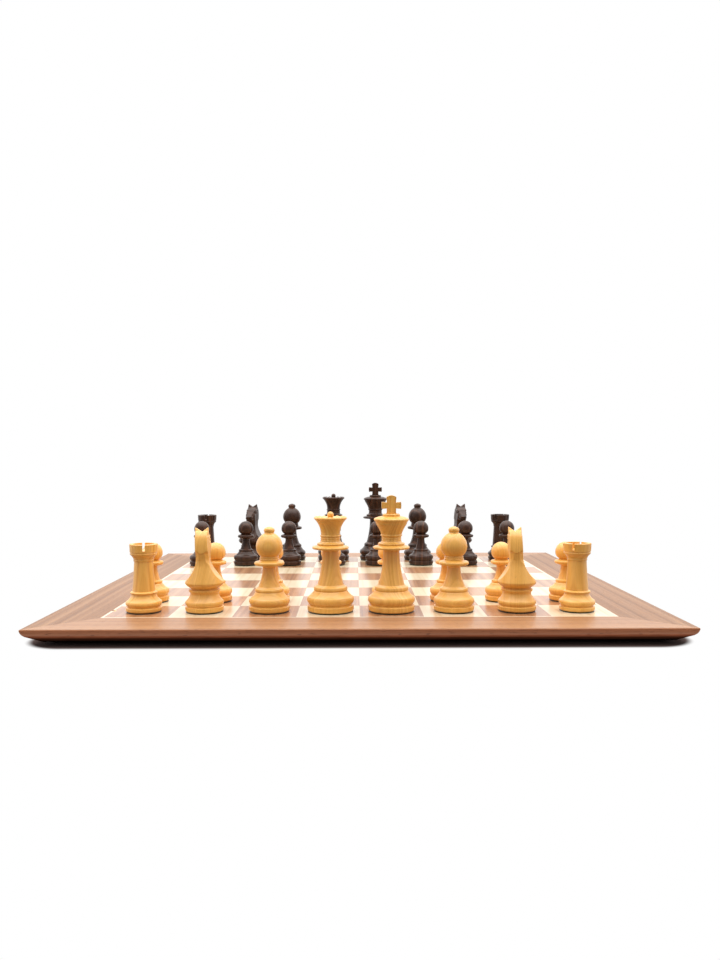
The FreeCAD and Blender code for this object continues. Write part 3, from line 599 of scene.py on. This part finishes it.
def knight_head(step):
    """The head as a solid on a grid: the grid's axes, and a value that is below zero inside the wood."""
    axes = [np.arange(low, high + step, step) for low, high in CARVED_ROOM]
    x, y, z = np.meshgrid(*axes, indexing="ij", sparse=True)
    plane_y, plane_z = np.meshgrid(axes[1], axes[2], indexing="ij")
    outline = distance_to_line(plane_y, plane_z, rounded(HEAD_OUTLINE), closed=True)[None]
    wide = half_width(plane_y, plane_z)[None]
    # bell: turned upright, widest at its rim; the head above it leans a little to one side
    rise = np.clip((z - 19.4) / 4.4, 0, 1)
    ease = np.clip(z - 36.0, 0, 6)
    bell = 11.2 + 4.3 * (1 - (1 - rise) ** 1.7) - 0.34 * np.clip(z - 24.0, 0, 12)
    bell = bell - 0.34 * (ease - ease ** 2 / 12) + 0.5 * np.clip(z - 42.4, 0, None)
    past_bell = (np.hypot(x, y) - bell) * 0.9
    x = x + LEAN * np.clip(z - LEAN_FROM, 0, None)
    across = np.abs(x)
    # the mane stands proud of the neck behind as a shield with a rounded lower end
    lip = 47.8 + 3.4 * (across / 4.8) ** 2.2
    shield = smooth_step(-0.2, 0.2, z - lip) * smooth_step(5.3, 4.9, across) * smooth_step(-3.0, -4.6, y)
    outline = outline - 0.55 * shield
    # the bridge of the nose is flat between two bevels, and so is the back of the neck
    bevel = 0.6 + 1.4 * smooth_step(4.0, 7.0, y) * smooth_step(60.0, 58.4, z) * smooth_step(40.0, 43.0, z)
    bevel = bevel + 2.2 * smooth_step(-4.0, -7.0, y) * smooth_step(50.0, 47.5, z)
    solid = smooth_max(outline, across - wide, 0.35)
    solid = smooth_max(solid, (outline + across - wide + bevel) * 0.7, 0.35)
    solid = smooth_max(solid, past_bell, 0.3)
    solid = np.maximum(solid, SHOULDER - z)
    # ears: parted by a notch, hollow in front
    notch = (z - 64.6 - 0.73 * across) * 0.8
    solid = smooth_max(solid, notch, 0.25)
    for side in (-1, 1):
        oval = [(x - side * 4.1) / 0.75, (y - 3.0) / 1.2, (z - 65.8) / 1.9]
        hollow = np.sqrt(sum(part ** 2 for part in oval)) - 1
        solid = smooth_max(solid, -hollow * 0.9, 0.3)
    return axes, solid


def polygons(axes, solid):
    """The surface of a solid on a grid, as points, triangles and quads."""
    grid = openvdb.FloatGrid(float(solid.max()))
    grid.copyFromArray(solid.astype(np.float32))
    points, triangles, quads = grid.convertToPolygons(isovalue=0.0, adaptivity=0.0)
    points = np.array([axis[0] for axis in axes]) + points * (axes[0][1] - axes[0][0])
    return points, triangles, quads


def carve_heads(step):
    """Carve one head on a grid of this step, and set a copy of it on each knight."""
    points, triangles, quads = polygons(*knight_head(step))
    faces = [list(face) for face in triangles] + [list(face) for face in quads]
    carved = bpy.data.meshes.new("knight_head")
    carved.from_pydata(points * MM, [], faces)
    carved.validate()
    carved.polygons.foreach_set("use_smooth", np.ones(len(carved.polygons), bool))
    for body, turn in KNIGHT_TURN.items():
        low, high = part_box(f"{body}_base")
        mesh = carved.copy()
        mesh.transform(Matrix.Translation(((low.x + high.x) / 2, (low.y + high.y) / 2, TOP))
                       @ Matrix.Rotation(math.radians(turn), 4, "Z"))
        mesh.materials.append(WOODS[body.split("_")[0]])
        mesh.update()
        head = bpy.data.objects.new(f"{body}_carved_head", mesh)
        bpy.context.scene.collection.objects.link(head)
        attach(head, body)
        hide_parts(f"{body}_head")


carve_heads(FINE_STEP)

# ---------------------------------------------------------------- studio and camera
FLOOR_HALF = 30.0
# The floor has a painted shadow under the board: a dark colour in a square of this half side and a border
# round it. The border fades to plain white between these two distances from the square.
SHADE_HALF = 0.2175
SHADE_FADE = (0.0285, 0.0355)
PAINTED_SHADOW_COLOUR = (0.11, 0.082, 0.076, 1)
SOFTBOX_WATTS = 42
SOFTBOX_SIZE = (2.6, 2.2)
SOFTBOX_HEIGHT = 1.6
SOFTBOX_COLOUR = (1.0, 0.985, 0.96)
# how the light of the surroundings changes along +Y and along +Z: from, to, and the levels there
FRONT_TO_SIDE = (-0.85, -0.1, 0.41, 1.45)
BELOW_TO_ABOVE = (-0.15, 0.1, 0.45, 1.0)
WHITE = (1, 1, 1, 1)
# the camera's sensor and lens in millimetres, its place, its height over the board's top, its pan, pitch and
# roll, and the nearest and farthest distance that it sees
SENSOR, LENS = 36, 31.76
CAMERA_X, CAMERA_Y, CAMERA_OVER_TOP = -0.00444, -0.859, 0.1237
CAMERA_ANGLES = (-0.402, 90 - 1.459, -0.09)
CAMERA_REACH = (0.02, 100)


def make_floor():
    """A floor with a painted shadow under the board, that glows plain white elsewhere and lends the board no
    light.
    """
    mesh = bpy.data.meshes.new("floor")
    corners = [(-FLOOR_HALF, -FLOOR_HALF, 0), (FLOOR_HALF, -FLOOR_HALF, 0), (FLOOR_HALF, FLOOR_HALF, 0),
               (-FLOOR_HALF, FLOOR_HALF, 0)]
    mesh.from_pydata(corners, [], [(0, 1, 2, 3)])
    paint = Paint("floor_white")
    beyond = paint.vector("SUBTRACT", paint.vector("ABSOLUTE", paint.place()), (SHADE_HALF, SHADE_HALF, 0.0))
    x, y, z = paint.split(paint.vector("MAXIMUM", beyond))
    away = paint.length(paint.join(x, y, 0.0))
    # painted shadow: the floor under and round the board gets a dark colour
    painted_shadow = paint.node("ShaderNodeBsdfDiffuse", {"Color": PAINTED_SHADOW_COLOUR})
    far = paint.node("ShaderNodeEmission", {"Color": WHITE, "Strength": 1.0})
    share = paint.step(away, *SHADE_FADE)
    blend = paint.node("ShaderNodeMixShader", {0: share, 1: painted_shadow.outputs[0], 2: far.outputs[0]})
    paint.feed(paint.tree.nodes["Material Output"].inputs["Surface"], blend.outputs[0])
    mesh.materials.append(paint.material)
    floor = bpy.data.objects.new("floor", mesh)
    floor.visible_diffuse = False
    floor.visible_glossy = False
    bpy.context.scene.collection.objects.link(floor)


def make_world():
    """White to the camera; as light it is bright beside and behind the board, dim in front and from below."""
    world = bpy.data.worlds.new("studio")
    bpy.context.scene.world = world
    world.use_nodes = True
    nodes, links = world.node_tree.nodes, world.node_tree.links

    def rise(socket, low, high, to_low, to_high):
        made = nodes.new("ShaderNodeMapRange")
        made.interpolation_type = "SMOOTHSTEP"
        limits = {"From Min": low, "From Max": high, "To Min": to_low, "To Max": to_high}
        for key, value in limits.items():
            made.inputs[key].default_value = value
        links.new(socket, made.inputs["Value"])
        return made.outputs["Result"]

    axes = nodes.new("ShaderNodeSeparateXYZ")
    links.new(nodes.new("ShaderNodeTexCoord").outputs["Generated"], axes.inputs[0])
    level = nodes.new("ShaderNodeMath")
    level.operation = "MULTIPLY"
    links.new(rise(axes.outputs["Y"], *FRONT_TO_SIDE), level.inputs[0])
    links.new(rise(axes.outputs["Z"], *BELOW_TO_ABOVE), level.inputs[1])
    pick = nodes.new("ShaderNodeMix")
    links.new(nodes.new("ShaderNodeLightPath").outputs["Is Camera Ray"], pick.inputs[0])
    links.new(level.outputs[0], pick.inputs[2])
    pick.inputs[3].default_value = 1.0
    links.new(pick.outputs[0], nodes["Background"].inputs["Strength"])
    nodes["Background"].inputs["Color"].default_value = WHITE


def make_softbox():
    """One large soft light straight above."""
    data = bpy.data.lights.new("softbox", "AREA")
    data.shape = "RECTANGLE"
    data.size, data.size_y = SOFTBOX_SIZE
    data.energy = SOFTBOX_WATTS
    data.color = SOFTBOX_COLOUR
    lamp = bpy.data.objects.new("softbox", data)
    lamp.location = (0, 0, SOFTBOX_HEIGHT)
    bpy.context.scene.collection.objects.link(lamp)


def make_camera():
    data = bpy.data.cameras.new("camera")
    data.sensor_width = SENSOR
    data.lens = LENS
    data.clip_start, data.clip_end = CAMERA_REACH
    camera = bpy.data.objects.new("camera", data)
    pan, pitch, roll = (math.radians(angle) for angle in CAMERA_ANGLES)
    camera.matrix_world = (Matrix.Translation((CAMERA_X, CAMERA_Y, TOP + CAMERA_OVER_TOP))
                           @ Matrix.Rotation(pan, 4, "Z") @ Matrix.Rotation(pitch, 4, "X")
                           @ Matrix.Rotation(roll, 4, "Z"))
    bpy.context.scene.collection.objects.link(camera)
    bpy.context.scene.camera = camera


make_floor()
make_world()
make_softbox()
make_camera()
bpy.context.scene.view_settings.view_transform = "Standard"
